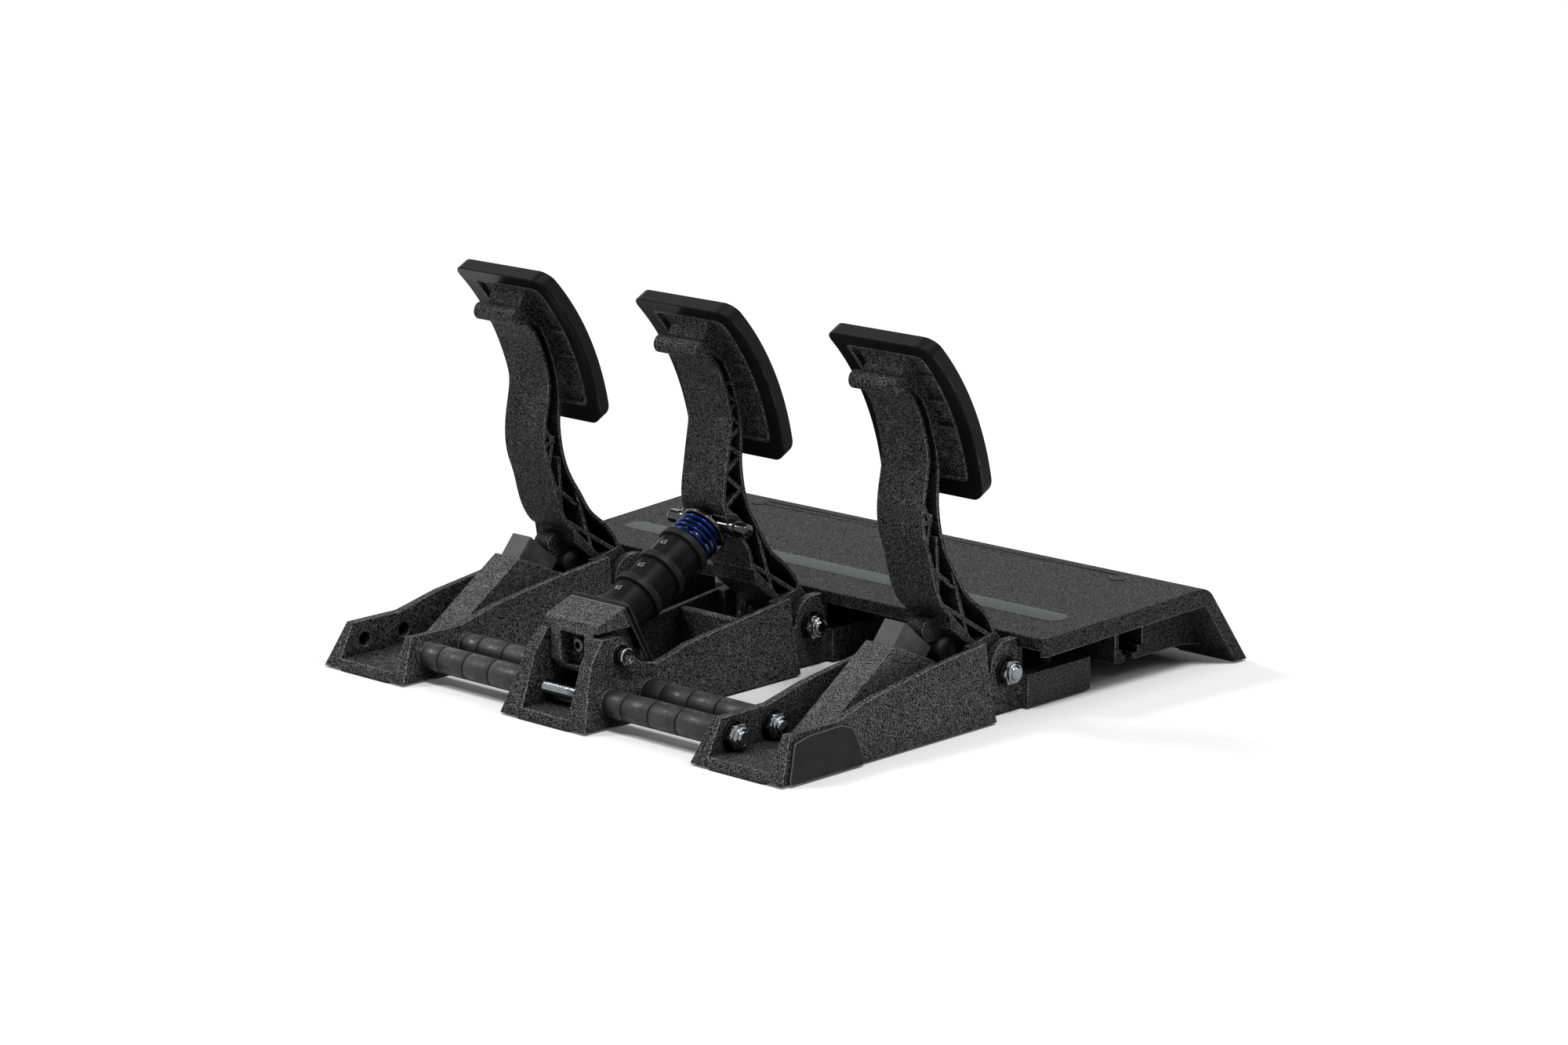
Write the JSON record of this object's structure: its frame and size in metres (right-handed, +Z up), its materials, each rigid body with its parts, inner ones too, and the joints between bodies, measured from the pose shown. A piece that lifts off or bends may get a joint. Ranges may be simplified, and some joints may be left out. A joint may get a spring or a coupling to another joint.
{
  "type": "sim racing pedal set",
  "caption": "Floor-standing pedal set for driving games: sprung throttle and clutch, load cell brake with a rubber stack, tied frames and a heel plate.",
  "frame": {"origin": "on the floor under the middle of the set", "axes": "+Z up, +Y away from the driver, +X to the driver's right"},
  "size_m": [0.3866, 0.3672, 0.2191],
  "materials": {
    "nylon": "black glass-filled nylon with a coarse speckled grain",
    "spacer_plastic": "dark grey moulded tube, faintly mottled",
    "pad_plastic": "smooth satin black",
    "plunger_plastic": "smooth dark grey plastic",
    "strip_rubber": "plain dark grey",
    "foot_rubber": "soft black rubber",
    "stack_rubber": "smooth black elastomer",
    "bush_plastic": "grey bearing plastic",
    "ring_metal": "dark grey satin anodised",
    "black_steel": "glossy black oxide",
    "bright_steel": "bright zinc",
    "blue_spring": "glossy metallic blue",
    "spring_steel": "plain spring steel",
    "board": "green board",
    "socket_metal": "tinned steel",
    "magnet": "plated magnet"
  },
  "bodies": {
    "base": {"heel_plate": "nylon", "grip_strip": "strip_rubber", "plate_screw_covers": "nylon", "toe_screws": "black_steel", "throttle_frame": "nylon", "brake_frame": "nylon", "clutch_frame": "nylon", "frame_rubber_feet": "foot_rubber", "skirt_rubber_feet": "foot_rubber", "corner_caps": "pad_plastic", "tie_rods": "bright_steel", "tie_rod_nuts": "bright_steel", "tie_rod_washers": "bright_steel", "spacer_tubes": "spacer_plastic", "pivot_bolts": "bright_steel", "pivot_nuts": "bright_steel", "pivot_washers": "black_steel", "throttle_spring_tower": "nylon", "clutch_spring_tower": "nylon", "throttle_return_spring": "spring_steel", "clutch_return_spring": "spring_steel", "control_cover": "nylon", "control_board": "board", "cable_socket": "socket_metal", "sensor_boards": "board", "yoke_pivot_screws": "bright_steel", "yoke_pivot_washers": "black_steel"},
    "throttle_pedal": {"throttle_arm": "nylon", "throttle_pad": "pad_plastic", "throttle_pad_back": "nylon", "throttle_pivot_bushes": "bush_plastic", "throttle_bump_stop": "foot_rubber", "throttle_magnet": "magnet"},
    "throttle_plunger_body": {"throttle_plunger": "plunger_plastic"},
    "clutch_pedal": {"clutch_arm": "nylon", "clutch_pad": "pad_plastic", "clutch_pad_back": "nylon", "clutch_pivot_bushes": "bush_plastic", "clutch_bump_stop": "foot_rubber", "clutch_magnet": "magnet"},
    "clutch_plunger_body": {"clutch_plunger": "plunger_plastic"},
    "brake_pedal": {"brake_arm": "nylon", "brake_pad": "pad_plastic", "brake_pad_back": "nylon", "brake_pivot_bushes": "bush_plastic", "brake_cross_pin": "black_steel", "brake_pin_collars": "black_steel"},
    "brake_yoke_body": {"brake_yoke": "nylon", "brake_load_cell_plate": "black_steel", "brake_base_collar": "ring_metal", "brake_rubber_1": "stack_rubber", "brake_cell_screw": "black_steel"},
    "ring_1_body": {"brake_ring_1": "ring_metal", "brake_rubber_2": "stack_rubber"},
    "ring_2_body": {"brake_ring_2": "ring_metal", "brake_rubber_3": "stack_rubber"},
    "ring_3_body": {"brake_ring_3": "ring_metal", "brake_spring": "blue_spring"},
    "seat_body": {"brake_spring_seat": "ring_metal", "brake_spindle": "black_steel"}
  },
  "joints": [
    {"name": "throttle_pivot", "type": "hinge", "parent": "base", "child": "throttle_pedal", "pos_m": [0.144, -0.00445, 0.0242], "axis": [-1, 0, 0], "range_deg": [0, 14], "stiffness_Nm_per_rad": 3, "springref_deg": -17.19},
    {"name": "throttle_plunger_slide", "type": "slide", "parent": "base", "child": "throttle_plunger_body", "axis": [0, 0.6468, -0.7627], "range_m": [0, 0.0123], "deforming": ["throttle_return_spring"]},
    {"name": "clutch_pivot", "type": "hinge", "parent": "base", "child": "clutch_pedal", "pos_m": [-0.144, -0.00445, 0.0242], "axis": [-1, 0, 0], "range_deg": [0, 14], "stiffness_Nm_per_rad": 3, "springref_deg": -17.19},
    {"name": "clutch_plunger_slide", "type": "slide", "parent": "base", "child": "clutch_plunger_body", "axis": [0, 0.6468, -0.7627], "range_m": [0, 0.0123], "deforming": ["clutch_return_spring"]},
    {"name": "brake_pivot", "type": "hinge", "parent": "base", "child": "brake_pedal", "pos_m": [0, -0.00445, 0.0242], "axis": [-1, 0, 0], "range_deg": [0, 8], "stiffness_Nm_per_rad": 20, "springref_deg": -5.73},
    {"name": "yoke_pivot", "type": "hinge", "parent": "base", "child": "brake_yoke_body", "pos_m": [0, 0.14955, 0.0372], "axis": [1, 0, 0], "range_deg": [0, 2.2]},
    {"name": "ring_1_slide", "type": "slide", "parent": "brake_yoke_body", "child": "ring_1_body", "axis": [0, 0.8767, -0.481], "range_m": [0, 0.0026], "deforming": ["brake_rubber_1"]},
    {"name": "ring_2_slide", "type": "slide", "parent": "brake_yoke_body", "child": "ring_2_body", "axis": [0, 0.8767, -0.481], "range_m": [0, 0.0052], "deforming": ["brake_rubber_2"]},
    {"name": "ring_3_slide", "type": "slide", "parent": "brake_yoke_body", "child": "ring_3_body", "axis": [0, 0.8767, -0.481], "range_m": [0, 0.0078], "deforming": ["brake_rubber_3"]},
    {"name": "seat_slide", "type": "slide", "parent": "brake_yoke_body", "child": "seat_body", "axis": [0, 0.8767, -0.481], "range_m": [0, 0.0118], "deforming": ["brake_spring"]}
  ],
  "couplings": [
    {"joint": "throttle_plunger_slide", "follows": "throttle_pivot", "m_per_rad": 0.0501},
    {"joint": "clutch_plunger_slide", "follows": "clutch_pivot", "m_per_rad": 0.0501},
    {"joint": "yoke_pivot", "follows": "brake_pivot", "ratio": 0.2675},
    {"joint": "ring_1_slide", "follows": "brake_pivot", "m_per_rad": 0.0181},
    {"joint": "ring_2_slide", "follows": "brake_pivot", "m_per_rad": 0.0363},
    {"joint": "ring_3_slide", "follows": "brake_pivot", "m_per_rad": 0.0544},
    {"joint": "seat_slide", "follows": "brake_pivot", "m_per_rad": 0.083}
  ]
}
